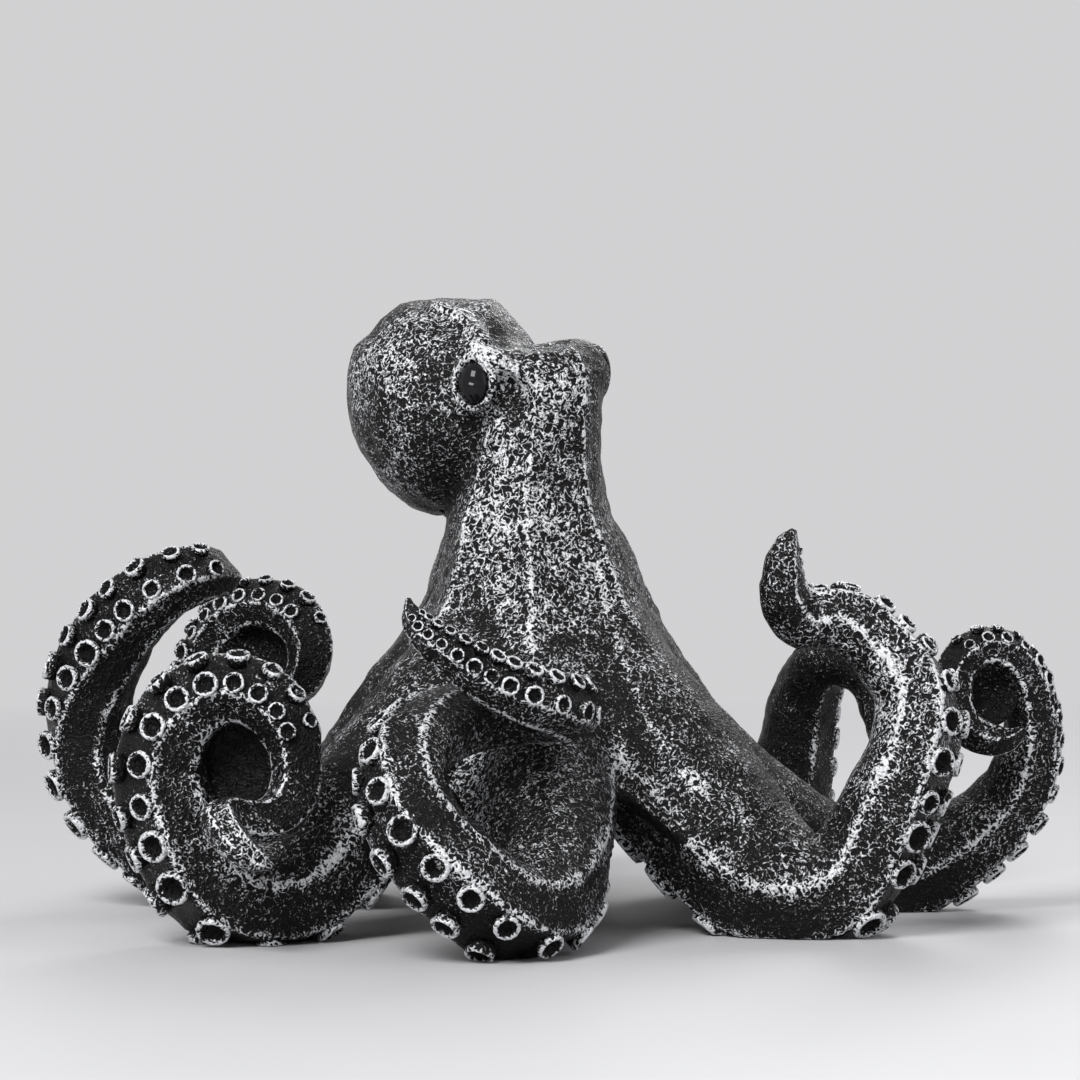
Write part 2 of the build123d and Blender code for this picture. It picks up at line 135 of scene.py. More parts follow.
# Half of an arm's outline from the middle of its back to that of its sole: across and backward in half
# widths, and its two ridges
OUTLINE = (
    (0.00, 0.98), (0.22, 0.96), (0.45, 0.88), (0.66, 0.74), (0.83, 0.54), (0.94, 0.32), (1.01, 0.14),
    (0.94, -0.08), (0.87, -0.32), (0.80, -0.56), (0.75, -0.77), (0.58, -0.81), (0.28, -0.80), (0.00, -0.79))
EAVE = 6
SOLE_EDGE = 10

# Shares of the arms at which their suckers end short of the tip
LAST_SUCKERS = {"arm_front_left": 0.79, "arm_right": 0.86, "arm_rear_left": 0.90, "arm_left": 0.93}

# Places with more or less silver, partly brushed on more or less and partly painted light and shade:
# painted light on the mantle's upper left, the neck's front and the front arms' limbs, painted shade in the
# curls' bowls, beside the eyes, under the mantle and on the far arms: middle, radius and change of wear
BRUSH_AND_LIGHT_SPOTS = (
    (-24, -8, 108, 12, 0.10), (-30, 0, 112, 10, 0.06), (-12, 0, 82, 12, -0.16), (-14, -12, 93, 5, -0.16),
    (14, -9, 108, 5, -0.12), (71, -36, 42, 15, 0.20), (60, -32, 62, 12, 0.12), (-9, -19, 84, 11, 0.16),
    (24, -40, 36, 14, 0.05), (-52, -68, 20, 8, 0.30), (-57, -47, 33.5, 6.5, -0.25),
    (-84, 14, 34, 22, -0.12), (8, -32, 56, 12, 0.14), (84, -22, 14, 14, -0.10), (91, 0, 44, 7, -0.15),
    (-3, -45, 28, 10, 0.14), (-10, -22, 70, 9, 0.10), (46, -46, 12, 12, 0.04), (60, 55, 30, 30, -0.12),
    (0, -16, 106, 6, 0.16), (10, -8, 110, 6, 0.10))
# Worn line down the front web's right: route in the plane y = 0, and the depths where it counts
WORN_LINE = ((11.3, 0, 70.5), (15.5, 0, 52.8), (21.1, 0, 39.1), (25.1, 0, 33.4), (31, 0, 27))
WORN_DEPTHS = (-60.0, -8.0)

# Suckers: shares of the arm between which they stand and by which their rows differ, place below and
# beside the line in half widths, cup as radius and height, and its wear
SUCKER_START, SUCKER_END, SUCKER_STAGGER = 0.10, 0.975, 0.004
SUCKER_BELOW, SUCKER_ASIDE = 0.79, 0.42
SUCKER_PROFILE = (
    (0.84, -0.50), (0.98, 0.10), (1.03, 0.48), (0.92, 0.68), (0.74, 0.62), (0.56, 0.30), (0.30, 0.12))
SUCKER_WEAR = (0.2, 0.40, 0.85, 1.2, 0.7, 0.0, 0.0)

# Neck, head and web from the crown down: height, place aside, place back and half width
SKIRT = (
    (114.2, 0.5, -5.5, 3), (113.6, 0.5, -5.5, 6.5), (111.6, 0.3, -5.5, 10), (108, 0.2, -5.5, 12.3),
    (103, -0.2, -5.5, 12.9), (97, -0.6, -4.8, 13.2), (91, -1.2, -4, 13.9), (85.5, -1.8, -3, 15.4),
    (80, -2, -2, 17.2), (73.6, -1.2, -1, 19.9), (68, -0.8, -0.5, 22.1), (63, -0.5, 0, 23.9),
    (58.6, -0.3, 0, 26), (53, 0, 0, 29), (48, 0, 0, 32.2), (43, 0, 0, 36), (38.6, 0, 0, 39.6),
    (34, 0, 0, 43.2), (29, 0, 0, 47), (24, 0, 0, 51), (19, 0, 0, 55))
# Directions of the arms and their fold ridges about the neck, in degrees
FOLDS = {
    "arm_front_left": -137, "arm_front": -93, "arm_front_right": -45, "arm_right": 14,
    "arm_rear_right": 55, "arm_rear": 87, "arm_rear_left": 127, "arm_left": 163}
# How flat the neck is from front to back, how thick the web is and the height from which it has a hollow
SKIRT_FLATTENING = 1.04
WEB_THICKNESS = 3.2
WEB_TOP = 60.0
# By reach from the neck's axis, how far the web hangs and what share of its width the neck gives up
# halfway between folds, each with the power by which it grows from the fold
SAG, SAG_POWER = ((24, 30, 36, 44, 60), (0, 2.5, 5.5, 8.5, 10)), 1.2
DRAW_IN, DRAW_IN_POWER = ((8, 13, 22, 34, 44), (0.0, 0.06, 0.11, 0.08, 0.03)), 0.75
# Reach of the web's edge between arms, what it has more beside them, and how wide that part is
HEM_REACH, HEM_MORE, HEM_SHARE = 42.0, 9.0, 0.3

# Mantle: middle, half depth, and outline seen from the front as angle in degrees and radius
MANTLE_PLACE = np.array((-17.0, 12.0, 103.0))
MANTLE_DEPTH = 24.0
MANTLE_OUTLINE = (
    (-175, 22), (-160, 21.7), (-146, 21.5), (-129, 22.2), (-115, 22.9), (-104, 23.4), (-90, 23.2),
    (-75, 22.4), (-50, 20.5), (-20, 19.5), (10, 19.3), (38, 19.9), (50, 20.3), (60, 21.2), (70, 22.2),
    (80, 21.2), (90, 20.9), (107, 21.8), (119, 23.1), (128, 22.9), (142, 22.6), (151, 23.6), (158, 23.3),
    (173, 22.4))

# Head: brows as place and radius, ridges over the left eye and on the mantle as ends and radius, their
# wear, and hollows
BROWS = (((-10.4, -9.5, 105.5), 7.0), ((6.7, -2.4, 108.0), 6.9))
RIDGES = (
    ((-13.0, -14.0, 112.4), (-8.8, -16.2, 109.6), 1.8), ((-8.8, -16.2, 109.6), (-3.0, -16.4, 106.6), 1.5),
    ((-20.5, 0.5, 120.8), (-15.5, -2.6, 118.6), 2.0), ((-15.5, -2.6, 118.6), (-11.6, -8.4, 114.2), 2.0))
RIDGE_WEAR = (0.12, 0.12, 0.06, 0.08)
HOLLOWS = (((-6.4, -18.0, 102.8), 3.9), ((-13.8, -14.4, 97.8), 3.0), ((-0.5, -10.0, 117.5), 5.5))
# Eyes, left and right: gaze and depth in the brow; half sizes of ball and lid
GAZES = ((-0.45, -1.0, 0.05), (1.0, 0.80, 0.05))
EYE_DEPTHS = (2.3, 3.3)
BALL_WIDTH, BALL_HEIGHT, BALL_DEPTH, BALL_BACK = 3.7, 4.7, 3.8, 0.8
LID_WIDTH, LID_HEIGHT, LID_LIFT = 4.1, 5.1, 1.4

# Reaches over which forms blend, the height above which head and mantle count, and a great distance
BLEND_BROWS, BLEND_RIDGES, BLEND_MANTLE_RIDGES, BLEND_HEAD, BLEND_ARMS = 1.0, 2.0, 1.5, 3.0, 5.0
HEAD_FROM = 62.0
FAR = 1e3

# Lumps of the surface: height, pitch and seed
LUMPS = ((0.32, 4.5, 3), (0.22, 1.9, 7))

# Wear of the arms, more at eaves, less on soles, and painted shade on the feet, less silver towards the
# floor; of the neck, more on folds and front, the front partly brushing and partly painted light; of the
# mantle, the web's underside and the walls in the curls
ARM_WEAR, EAVE_MORE, SOLE_LESS, FOOT_PAINTED_SHADE, FOOT_SHADE_HEIGHT = 0.45, 0.44, 0.10, 0.14, 14
NECK_WEAR, FOLD_MORE, FRONT_BRUSH_AND_LIGHT = 0.46, 0.36, 0.165
MANTLE_WEAR, UNDER_WEAR, CURL_WEAR = 0.53, 0.15, 0.34

# Lamps: name, place and aim in metres, side in metres and watts
LAMPS = (
    ("key", (-0.34, -0.62, 0.66), (0, 0, 0.06), 0.40, 8.0),
    ("fill", (0.75, -0.45, 0.35), (0, 0, 0.05), 0.7, 1.2),
    ("rim", (0.25, 0.75, 0.65), (0, 0, 0.08), 0.5, 3.0))
# The studio's light from all round
WORLD_COLOUR, WORLD_STRENGTH = (0.68, 0.68, 0.70, 1), 0.5
# The floor's half side and how far it lies below the feet, in metres
FLOOR_REACH = 2.0
FLOOR_DROP = 0.0002

# Rows and sides of the grids of neck and mantle; where shoulders and their suckers start, as shares of
# the arm, and the shoulders' rows
SKIRT_GRID, MANTLE_GRID = (150, 280), (76, 150)
SHOULDER_START, FIRST_SUCKER, SHOULDER_ROWS = 0.06, 0.14, 40


# Numbers and curves

def hashed(cells, seed):
    """A number from 0 to 1 for each lattice cell, by a hash of its indices."""
    x, y, z = np.moveaxis(cells, -1, 0)
    mixed = x * 73856093 ^ y * 19349663 ^ z * 83492791 ^ seed * 2654435
    mixed = (mixed ^ (mixed >> 13)) * 1274126177
    return ((mixed ^ (mixed >> 16)) & 0xFFFF) / 0xFFFF


def lumps(places, pitch, seed):
    """Smooth noise from -1 to 1: the corners of a lattice, mixed along its three axes."""
    scaled = places / pitch
    cells = np.floor(scaled).astype(np.int64)
    part = scaled - cells
    part = part * part * (3 - 2 * part)
    total = 0
    for corner in range(8):
        step = np.array((corner & 1, corner >> 1 & 1, corner >> 2 & 1))
        share = np.prod(np.where(step, part, 1 - part), axis=-1)
        total = total + share * hashed(cells + step, seed)
    return 2 * total - 1


def soft_min(a, b, reach):
    """The lesser of two distances, less a parabola where they differ by under the reach."""
    return np.minimum(a, b) - np.maximum(reach - np.abs(a - b), 0) ** 2 / (4 * reach)


def path_lengths(rows):
    """How far along a path each of its rows lies."""
    return np.concatenate(((0,), np.cumsum(np.linalg.norm(np.diff(rows, axis=0), axis=1))))


def smooth_curve(rows, count):
    """Cubic spline through the rows, its second derivative continuous, at even steps, and its length."""
    rows = np.asarray(rows, float)
    samples = 2001
    steps = np.linalg.norm(np.diff(rows[:, :3], axis=0), axis=1)
    marks = path_lengths(rows[:, :3])
    chords = np.diff(rows, axis=0) / steps[:, None]
    size = len(rows)
    matrix = np.eye(size)
    wanted = np.empty_like(rows)
    wanted[0] = chords[0] * 1.5 - chords[1] * 0.5
    wanted[-1] = chords[-1] * 1.5 - chords[-2] * 0.5
    inner = np.arange(1, size - 1)
    matrix[inner, inner - 1] = steps[1:]
    matrix[inner, inner] = 2 * (steps[:-1] + steps[1:])
    matrix[inner, inner + 1] = steps[:-1]
    wanted[1:-1] = 3 * (steps[1:, None] * chords[:-1] + steps[:-1, None] * chords[1:])
    slopes = np.linalg.solve(matrix, wanted)

    def at(places):
        low = np.clip(np.searchsorted(marks, places) - 1, 0, size - 2)
        t = ((places - marks[low]) / steps[low])[:, None]
        a, b = rows[low], rows[low + 1]
        c, d = slopes[low] * steps[low, None], slopes[low + 1] * steps[low, None]
        return (a * (1 + 2 * t) + c * t) * (1 - t) ** 2 + (b * (3 - 2 * t) - d * (1 - t)) * t ** 2

    fine = at(np.linspace(0, marks[-1], samples))
    lengths = path_lengths(fine[:, :3])
    even = np.interp(np.linspace(0, lengths[-1], count), lengths, np.linspace(0, marks[-1], samples))
    return at(even), lengths[-1]


def unit(vectors):
    """Vectors of length 1 in the same directions."""
    return vectors / np.maximum(np.linalg.norm(vectors, axis=-1, keepdims=True), 1e-9)


class Arm:
    """Centre line of one arm with a frame carried along it: across, back and along at each station.

    The sole is carried from downward with the least turn, then turned about the line by the table.
    """

    stations = 601
    least_girth = 0.3
    # The stations that distances are measured from, and how far along the line past one they hold
    first_station, station_step, section_reach = 20, 5, 2.0

    def __init__(self, turn, rows):
        line, self.length = smooth_curve(rows, self.stations)
        self.places = line[:, :3]
        self.girths = np.maximum(line[:, 3], self.least_girth)
        self.along = unit(np.gradient(self.places, axis=0))
        sole = np.array((0.0, 0.0, -1.0))
        soles = []
        for along in self.along:
            sole = unit(sole - along * sole.dot(along))
            soles.append(sole)
        shares = np.linspace(0, 1, self.stations)
        angle = np.radians(np.interp(shares, *np.array(turn, float).T))[:, None]
        soles = np.array(soles)
        soles = soles * np.cos(angle) + np.cross(self.along, soles) * np.sin(angle)
        self.back = -soles
        self.across = np.cross(self.back, self.along)
        reach = np.hypot(self.places[:, 0], self.places[:, 1])
        self.joint = np.argmax(reach >= JOINT_RADIUS) / (self.stations - 1)

    def at(self, shares, values):
        """Values of the stations, read between them at shares of the arm's length."""
        places = np.asarray(shares) * (self.stations - 1)
        low = np.clip(np.floor(places).astype(int), 0, self.stations - 2)
        part = places - low
        if values.ndim > 1:
            part = part[..., None]
        return values[low] * (1 - part) + values[low + 1] * part

    def distance(self, points, last):
        """How far points lie outside the arm up to a share of its length, in its nearest section."""
        stations = np.arange(self.first_station, int(last * self.stations), self.station_step)
        places = self.places[stations]
        apart = (points ** 2).sum(1)[:, None] - 2 * points @ places.T + (places ** 2).sum(1)
        nearest = stations[np.argmin(apart, axis=1)]
        off = points - self.places[nearest]
        x, y, past = ((off * axis[nearest]).sum(1) for axis in (self.across, self.back, self.along))
        angle = np.arctan2(x, y)
        size = self.girths[nearest] * np.interp(np.abs(angle), OUTLINE_ANGLES, OUTLINE_RADII)
        return np.maximum(np.hypot(x, y) - size, np.abs(past) - self.section_reach)


def outline(count):
    """Closed outline with count points: the half outline mirrored, walked evenly and softened.

    Beside it, how near each point lies to a ridge, as a bell curve, and which are sole.
    """
    own_part, next_part, ridge_width = 0.6, 0.2, 0.10
    half = np.array(OUTLINE)
    full = np.concatenate((half, (half * (-1, 1))[-2:0:-1]))
    closed = np.concatenate((full, full[:1]))
    steps = path_lengths(closed)
    even = np.arange(count) / count * steps[-1]
    walked = np.stack([np.interp(even, steps, closed[:, axis]) for axis in (0, 1)], axis=1)
    walked = walked * own_part + (np.roll(walked, 1, 0) + np.roll(walked, -1, 0)) * next_part
    marks = np.array((steps[EAVE], steps[SOLE_EDGE], steps[-1] - steps[EAVE], steps[-1] - steps[SOLE_EDGE]))
    apart = np.abs(even[:, None] - marks)
    ridge = np.exp(-(apart / ridge_width) ** 2).max(1)
    sole = ((even > marks[1]) & (even < marks[3])).astype(float)
    return walked, ridge, sole


OUTLINE_ANGLES = np.arctan2(*np.array(OUTLINE).T)
OUTLINE_RADII = np.linalg.norm(np.array(OUTLINE), axis=1)
arms = {name: Arm(turn, (ARM_START, *rows)) for name, (turn, rows) in ARMS.items()}


# Distances from the forms, which the charts are moved on to

skirt = np.array(SKIRT)
# Reach and height of the neck and web, from a point over the crown
skirt_profile = np.concatenate((((0.0, skirt[0, 0] + 0.1),), skirt[:, (3, 0)]))


def between_folds(angle):
    """How far a direction lies from the fold ridges: 0 on a ridge, 1 halfway to the next."""
    wrapped = np.degrees(angle) % 360
    marks = np.sort(np.array(list(FOLDS.values())) % 360)
    marks = np.concatenate((marks[-1:] - 360, marks, marks[:1] + 360))
    index = np.clip(np.searchsorted(marks, wrapped) - 1, 0, len(marks) - 2)
    part = (wrapped - marks[index]) / (marks[index + 1] - marks[index])
    return np.sin(np.pi * part)


def sag(reach, middle):
    """How far the web hangs below the skirt's ridges at a reach from the neck's axis."""
    return np.interp(reach, *SAG) * middle ** SAG_POWER


def panel(reach, middle):
    """How the neck's width draws in between its ridges, as a factor."""
    return 1 - np.interp(reach, *DRAW_IN) * middle ** DRAW_IN_POWER


def hem_reach(middle):
    """Reach of the web's edge: short halfway between two arms and long beside them."""
    return HEM_REACH + HEM_MORE * np.clip((1 - middle) / HEM_SHARE, 0, 1)


def neck_middle(height):
    """Where the neck's axis stands at a height."""
    return [np.interp(-height, -skirt[:, 0], skirt[:, column]) for column in (1, 2)]


def skirt_distance(points):
    """How far points lie outside the neck and web: nearest stretch of the profile in height and reach.

    Under WEB_TOP the web's underside bounds it too, and its edge everywhere.
    """
    middle_x, middle_y = neck_middle(points[:, 2])
    x, y = points[:, 0] - middle_x, (points[:, 1] - middle_y) * SKIRT_FLATTENING
    reach = np.hypot(x, y)
    middle = between_folds(np.arctan2(y, x))
    r = reach / panel(reach, middle)
    z = points[:, 2] + sag(reach, middle)
    best = np.full(len(points), FAR ** 2)
    signed = np.zeros(len(points))
    for (r0, z0), (r1, z1) in zip(skirt_profile, skirt_profile[1:]):
        dr, dz = r1 - r0, z1 - z0
        t = np.clip(((r - r0) * dr + (z - z0) * dz) / (dr * dr + dz * dz), 0, 1)
        away_r, away_z = r - r0 - t * dr, z - z0 - t * dz
        apart = away_r ** 2 + away_z ** 2
        closer = apart < best
        best = np.where(closer, apart, best)
        signed = np.where(closer, np.sign(-away_r * dz + away_z * dr + 1e-12), signed)
    top = np.sqrt(best) * signed
    under = np.where(points[:, 2] > WEB_TOP, -FAR, -top - WEB_THICKNESS)
    return np.maximum(np.maximum(top, under), (reach - hem_reach(middle)) * 0.9)


def ridge_distance(points, ridge):
    """How far points lie outside a round rod between two ends."""
    start, end = np.array(ridge[:2])
    way = end - start
    t = np.clip((points - start) @ way / way.dot(way), 0, 1)
    return np.linalg.norm(points - start - t[..., None] * way, axis=-1) - ridge[2]


def head_distance(points):
    """How far points lie outside the head's brow bumps and the ridges over the left eye."""
    best = np.full(len(points), FAR)
    for place, radius in BROWS:
        best = soft_min(best, np.linalg.norm(points - place, axis=1) - radius, BLEND_BROWS)
    for ridge in RIDGES[:2]:
        best = soft_min(best, ridge_distance(points, ridge), BLEND_RIDGES)
    return best


def mantle_radius(angle):
    """Radius of the mantle's front outline at an angle."""
    table = np.array(MANTLE_OUTLINE, float)
    return np.interp(np.degrees(angle), table[:, 0], table[:, 1], period=360)


def mantle_distance(points):
    """How far points lie outside the mantle, by their share of its outline and depth."""
    off = points - MANTLE_PLACE
    flat = np.hypot(off[:, 0], off[:, 2])
    share = np.hypot(flat / mantle_radius(np.arctan2(off[:, 2], off[:, 0])), off[:, 1] / MANTLE_DEPTH)
    bag = (share - 1) * np.linalg.norm(off, axis=1) / np.maximum(share, 1e-3)
    for ridge in RIDGES[2:]:
        bag = soft_min(bag, ridge_distance(points, ridge), BLEND_MANTLE_RIDGES)
    return bag


def skin(points, own, names):
    """The soft union of all the forms less the hollows.

    Where another form is nearer than the chart's own, the chart dips under it, up to 2 mm.
    """
    high = points[:, 2] > HEAD_FROM
    neck = skirt_distance(points)
    mantle = np.where(high, mantle_distance(points), FAR)
    forms = {"neck": soft_min(neck, np.where(high, head_distance(points), FAR), BLEND_HEAD), "mantle": mantle}
    for name in names:
        forms[name] = arms[name].distance(points, arms[name].joint + SHOULDER_SHARE)
    total = forms["neck"]
    for place, radius in HOLLOWS:
        hollow = radius - np.linalg.norm(points - place, axis=1)
        total = -soft_min(-total, -hollow, BLEND_HEAD)
    total = soft_min(total, mantle, BLEND_HEAD)
    for name in names:
        total = soft_min(total, forms[name], BLEND_ARMS)
    others = np.min([value for name, value in forms.items() if name != own], axis=0)
    return total + 0.5 * np.clip(forms[own] - others, 0, 4)


def land(base, outward, far, own, names):
    """Points reached by walking in from base + outward x far until the skin is met; hidden ones stay.

    Each step goes most of the way that the skin allows, and no point ends deeper than 4 mm.
    """
    shape, stride, deepest = base.shape, 0.85, -4
    base, outward = base.reshape(-1, 3), outward.reshape(-1, 3)
    walk = np.full(len(base), float(far))
    start = skin(base + outward * walk[:, None], own, names)
    walk -= stride * start
    for _ in range(9):
        walk -= stride * skin(base + outward * walk[:, None], own, names)
    walk = np.where(start < 0, 0, np.clip(walk, deepest, far))
    return (base + outward * walk[:, None]).reshape(shape)


def brushed_and_painted_light(points):
    """Change of wear with painted light and shade: the brushed places, which hold painted light and shade
    too, painted shade in the eye's hollows, more along the ridges and WORN_LINE.
    """
    hollow_painted_shade, hollow_spread, line_more, line_spread = 0.40, 1.02, 0.26, 0.9
    change = np.zeros(points.shape[:-1])
    # Brushed spots, with painted light on lit parts and painted shade in the curls and recesses
    for *place, radius, amount in BRUSH_AND_LIGHT_SPOTS:
        change += amount * np.exp(-((points - place) ** 2).sum(-1) / radius ** 2)
    # Painted shade: less silver in the eye's hollows
    for place, radius in HOLLOWS[:2]:
        reach = np.linalg.norm(points - place, axis=-1) / (hollow_spread * radius)
        change -= hollow_painted_shade * np.exp(-reach ** 4)
    for ridge, amount in zip(RIDGES, RIDGE_WEAR):
        change += amount * np.exp(-np.maximum(ridge_distance(points, ridge), 0) ** 2)
    depth = points[..., 1]
    flat = points * (1, 0, 1)
    pieces = [ridge_distance(flat, (start, end, 0.0)) for start, end in zip(WORN_LINE, WORN_LINE[1:])]
    worn = line_more * np.exp(-(np.minimum.reduce(pieces) / line_spread) ** 2)
    return change + worn * ((depth > WORN_DEPTHS[0]) & (depth < WORN_DEPTHS[1]))


# Meshes

class Shells:
    """Closed surfaces gathered into one mesh: grids of rings with their two poles, and their wear with its
    painted light and shade.
    """

    def __init__(self):
        self.points, self.quads, self.corners = [], [], []
        self.count = 0

    def add(self, rings, wear_and_painted_light, loop=False):
        """Adds one grid (rings, sides, 3) or more (how many, rings, sides, 3), turned outward.

        Each is closed by a pole at both ends, or round on itself.
        """
        if rings.ndim == 3:
            rings, wear_and_painted_light = rings[None], wear_and_painted_light[None]
        many, rows, sides, _ = rings.shape
        rings = np.concatenate((rings, np.broadcast_to(wear_and_painted_light, rings.shape[:3])[..., None]), -1)
        points = rings.reshape(many, -1, 4)
        i = np.arange(rows if loop else rows - 1)[:, None] * sides
        j = np.arange(sides)[None, :]
        k = (j + 1) % sides
        after = (i + sides) % (rows * sides)
        quads = np.stack((i + j, i + k, after + k, after + j), -1).reshape(-1, 4)
        corners = np.zeros((0, 3), int)
        if not loop:
            points = np.concatenate((points, rings[:, (0, -1)].mean(2)), axis=1)
            j, k = j.ravel(), k.ravel()
            last = (rows - 1) * sides
            first_fan = np.stack((k, j, np.full(sides, rows * sides)), -1)
            last_fan = np.stack((last + j, last + k, np.full(sides, rows * sides + 1)), -1)
            corners = np.concatenate((first_fan, last_fan))
        triangles = np.concatenate((quads[:, :3], quads[:, (0, 2, 3)], corners))
        a, b, c = (points[0][triangles[:, n], :3] for n in range(3))
        if (np.cross(a, b) * c).sum() < 0:
            quads, corners = quads[:, ::-1], corners[:, ::-1]
        size = points.shape[1]
        offsets = self.count + size * np.arange(many)[:, None, None]
        self.points.append(points.reshape(-1, 4))
        self.quads.append((quads + offsets).reshape(-1, 4))
        self.corners.append((corners + offsets).reshape(-1, 3))
        self.count += size * many

    def build(self, name, material):
        """Makes the object, with smooth faces and the wear, which holds painted light and shade too, as an
        attribute.
        """
        points = np.concatenate(self.points)
        points, levels = points[:, :3] + WEB_PLACE, points[:, 3]
        points = np.clip(points, np.array(cad_low) / MILLIMETRE, np.array(cad_high) / MILLIMETRE)
        quads, corners = np.concatenate(self.quads), np.concatenate(self.corners)
        mesh = bpy.data.meshes.new(name)
        mesh.vertices.add(len(points))
        mesh.vertices.foreach_set("co", (points * MILLIMETRE).ravel())
        loops = np.concatenate((quads.ravel(), corners.ravel()))
        mesh.loops.add(len(loops))
        mesh.loops.foreach_set("vertex_index", loops)
        starts = np.concatenate((np.arange(len(quads)) * 4, quads.size + np.arange(len(corners)) * 3))
        mesh.polygons.add(len(starts))
        mesh.polygons.foreach_set("loop_start", starts)
        mesh.update(calc_edges=True)
        mesh.validate()
        mesh.shade_smooth()
        # The wear attribute holds painted light and shade besides the brush wear
        wear_and_painted_light = mesh.attributes.new("wear_and_painted_light", "FLOAT", "POINT")
        wear_and_painted_light.data.foreach_set("value", levels)
        mesh.materials.append(material)
        piece = bpy.data.objects.new(name, mesh)
        bpy.context.scene.collection.objects.link(piece)
        return piece


def roughened(points, outward):
    """Points moved along outward by small lumps of two pitches, as hand-modelled clay has."""
    lift = sum(height * lumps(points, pitch, seed) for height, pitch, seed in LUMPS)
    return points + outward * lift[..., None]


def round_turns(sides):
    """Angles of the points round a ring."""
    return 2 * np.pi * np.arange(sides) / sides


def arm_rings(name, first, last, rows, sides):
    """Rings of an arm between two shares: its outline set in the carried frame, landed near the web.

    The half width ends in a root of the way to the tip, which rounds it.
    """
    tip_end, tip_length, tip_least = 1.004, 0.02, 0.004
    arm = arms[name]
    shares = np.linspace(first, last, rows)
    walked, ridge, sole = outline(sides)
    girth = arm.at(shares, arm.girths) * np.sqrt(np.clip((tip_end - shares) / tip_length, tip_least, 1))
    place, across, back = (arm.at(shares, values) for values in (arm.places, arm.across, arm.back))
    spokes = walked[None, :, :1] * across[:, None] + walked[None, :, 1:] * back[:, None]
    spokes = spokes * girth[:, None, None]
    points = place[:, None] + spokes
    outward = unit(spokes)
    near = shares < arm.joint + LANDED_SHARE
    order = list(FOLDS)
    spot = order.index(name)
    names = [name, order[spot - 1], order[(spot + 1) % len(order)]]
    points[near] = land(points[near], outward[near], 5.0, name, names)
    wear_and_painted_light = ARM_WEAR + EAVE_MORE * ridge - SOLE_LESS * sole * (1 - ridge)
    # Painted shade: less silver on the feet, the nearer the floor the less
    wear_and_painted_light = wear_and_painted_light - FOOT_PAINTED_SHADE * np.clip(1 - points[..., 2] / FOOT_SHADE_HEIGHT, 0, 1) + brushed_and_painted_light(points)
    return roughened(points, outward), wear_and_painted_light


def sucker_cups(name, first, last, sizes):
    """Cups in two rows along the sole: one profile turned about each axis; size and tilt vary by a hash."""
    least_size, more_size, least_tilt, more_tilt = 0.88, 0.26, 16, 14
    arm = arms[name]
    shares, sides = [], []
    last = min(last, LAST_SUCKERS.get(name, 1.0))
    for side in (-1, 1):
        share = SUCKER_START + SUCKER_STAGGER * side
        while share < SUCKER_END:
            girth = float(arm.at(share, arm.girths))
            share += sizes.sucker_spacing * 2 * sizes.sucker_share * girth / arm.length
            if first <= share < last:
                shares.append(share)
                sides.append(side)
    shares, sides = np.array(shares), np.array(sides)
    girth = arm.at(shares, arm.girths)
    place, across, back = (arm.at(shares, values) for values in (arm.places, arm.across, arm.back))
    jitter = hashed(np.stack((np.arange(len(shares)), sides, np.full(len(shares), len(name))), -1), 5)
    radius = sizes.sucker_share * girth * (least_size + more_size * jitter)
    tilt = np.radians(least_tilt + more_tilt * jitter)[:, None] * sides[:, None]
    up = unit(-back * np.cos(tilt) + across * np.sin(tilt))
    along = arm.at(shares, arm.along)
    aside = unit(np.cross(along, up))
    along = np.cross(up, aside)
    foot = place - back * (SUCKER_BELOW * girth)[:, None] + across * (SUCKER_ASIDE * sides * girth)[:, None]
    profile = np.array(SUCKER_PROFILE)
    turns = round_turns(sizes.sucker_sides)
    flat = np.cos(turns)[None, :, None] * along[:, None] + np.sin(turns)[None, :, None] * aside[:, None]
    rings = profile[None, :, :1, None] * flat[:, None] + profile[None, :, 1:, None] * up[:, None, None]
    rings = foot[:, None, None] + rings * radius[:, None, None, None]
    return rings, np.array(SUCKER_WEAR)[None, :, None]


def curl_rings(name):
    """Wall of a curl: a dish hollow to the front, turned about Y through its middle."""
    place, radius = CURLS[name]
    profile, turns = np.array(CURL_PROFILE), round_turns(48)
    flat = profile[:, :1] * radius
    depth = np.broadcast_to(profile[:, 1:], (len(profile), len(turns)))
    points = np.array(place) + np.stack((flat * np.cos(turns), depth, flat * np.sin(turns)), -1)
    return roughened(points, np.broadcast_to((0.0, -1.0, 0.0), points.shape)), CURL_WEAR + brushed_and_painted_light(points)


